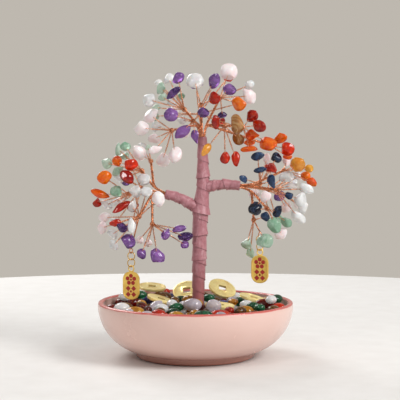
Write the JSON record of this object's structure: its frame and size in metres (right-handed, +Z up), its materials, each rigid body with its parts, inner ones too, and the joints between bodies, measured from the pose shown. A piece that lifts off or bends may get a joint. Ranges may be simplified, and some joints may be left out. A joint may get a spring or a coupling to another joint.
{
  "type": "gemstone tree ornament",
  "caption": "Ornamental tree of twisted copper wire with drilled gem chips and hanging tags, its taped trunk standing in a glazed bowl of polished pebbles and coins.",
  "frame": {"origin": "bowl axis at the underside of the foot ring", "axes": "+Z up along the bowl axis, -Y the front, +X to the right seen from the front"},
  "size_m": [0.1382, 0.12, 0.18],
  "materials": {
    "agate": "polished",
    "amber_agate": "polished",
    "amethyst": "polished",
    "aventurine": "polished",
    "bundle_wire": "drawn",
    "carnelian": "polished",
    "citrine": "polished",
    "clear_quartz": "polished",
    "coin_brass": "polished",
    "copper_wire": "drawn",
    "garnet": "polished",
    "gilt_ring": "polished",
    "gilt_tag": "polished",
    "green_agate": "polished",
    "lapis": "polished",
    "orange_carnelian": "polished",
    "paper_tape": "matte",
    "pink_glaze": "glossy",
    "plaster": "matte",
    "red_enamel": "glossy",
    "rose_quartz": "polished",
    "sodalite": "polished",
    "tiger_eye": "polished",
    "white_agate": "polished"
  },
  "bodies": {
    "tree": {"amber_agate_pebbles": "amber_agate", "bowl": "pink_glaze", "carnelian_pebbles": "carnelian", "cash_coins": "coin_brass", "clear_quartz_pebbles": "clear_quartz", "crown_agate_chips": "agate", "crown_amethyst_chips": "amethyst", "crown_aventurine_chips": "aventurine", "crown_boughs": "copper_wire", "crown_carnelian_chips": "carnelian", "crown_citrine_chips": "citrine", "crown_clear_quartz_chips": "clear_quartz", "crown_orange_carnelian_chips": "orange_carnelian", "crown_rose_quartz_chips": "rose_quartz", "crown_twigs": "copper_wire", "garnet_pebbles": "garnet", "green_agate_pebbles": "green_agate", "lapis_pebbles": "lapis", "left_amethyst_chips": "amethyst", "left_aventurine_chips": "aventurine", "left_boughs": "copper_wire", "left_carnelian_chips": "carnelian", "left_clear_quartz_chips": "clear_quartz", "left_limb_tape": "paper_tape", "left_limb_wire_bundle": "bundle_wire", "left_orange_carnelian_chips": "orange_carnelian", "left_rose_quartz_chips": "rose_quartz", "left_tag_hanger": "copper_wire", "left_twigs": "copper_wire", "plaster_fill": "plaster", "right_amethyst_chips": "amethyst", "right_aventurine_chips": "aventurine", "right_boughs": "copper_wire", "right_carnelian_chips": "carnelian", "right_citrine_chips": "citrine", "right_clear_quartz_chips": "clear_quartz", "right_limb_tape": "paper_tape", "right_limb_wire_bundle": "bundle_wire", "right_orange_carnelian_chips": "orange_carnelian", "right_rose_quartz_chips": "rose_quartz", "right_sodalite_chips": "sodalite", "right_tag_hanger": "copper_wire", "right_twigs": "copper_wire", "tiger_eye_pebbles": "tiger_eye", "trunk_tape": "paper_tape", "trunk_wire_bundle": "bundle_wire", "white_agate_pebbles": "white_agate"},
    "left_upper_ring": {"left_upper_ring": "gilt_ring"},
    "left_lower_ring": {"left_lower_ring": "gilt_ring"},
    "left_tag": {"left_tag": "gilt_tag", "left_tag_enamel": "red_enamel"},
    "right_upper_ring": {"right_upper_ring": "gilt_ring"},
    "right_lower_ring": {"right_lower_ring": "gilt_ring"},
    "right_tag": {"right_tag": "gilt_tag", "right_tag_enamel": "red_enamel"}
  },
  "joints": [
    {"name": "left_upper_ring_swing", "type": "hinge", "parent": "tree", "child": "left_upper_ring", "pos_m": [-0.03934, -0.003, 0.06309], "axis": [0.5878, 0.809, 0], "range_deg": [-15, 15]},
    {"name": "left_lower_ring_swing", "type": "hinge", "parent": "left_upper_ring", "child": "left_lower_ring", "pos_m": [-0.03934, -0.003, 0.05898], "axis": [0.8988, -0.4384, 0], "range_deg": [-15, 15]},
    {"name": "left_tag_swing", "type": "hinge", "parent": "left_lower_ring", "child": "left_tag", "pos_m": [-0.03934, -0.003, 0.0547], "axis": [0.829, 0.5592, 0], "range_deg": [-20, 20]},
    {"name": "right_upper_ring_swing", "type": "hinge", "parent": "tree", "child": "right_upper_ring", "pos_m": [0.03951, -0.0015, 0.07302], "axis": [0.5878, 0.809, 0], "range_deg": [-15, 15]},
    {"name": "right_lower_ring_swing", "type": "hinge", "parent": "right_upper_ring", "child": "right_lower_ring", "pos_m": [0.03951, -0.0015, 0.06892], "axis": [0.8988, -0.4384, 0], "range_deg": [-15, 15]},
    {"name": "right_tag_swing", "type": "hinge", "parent": "right_lower_ring", "child": "right_tag", "pos_m": [0.03951, -0.0015, 0.06464], "axis": [0.829, 0.5592, 0], "range_deg": [-20, 20]}
  ]
}
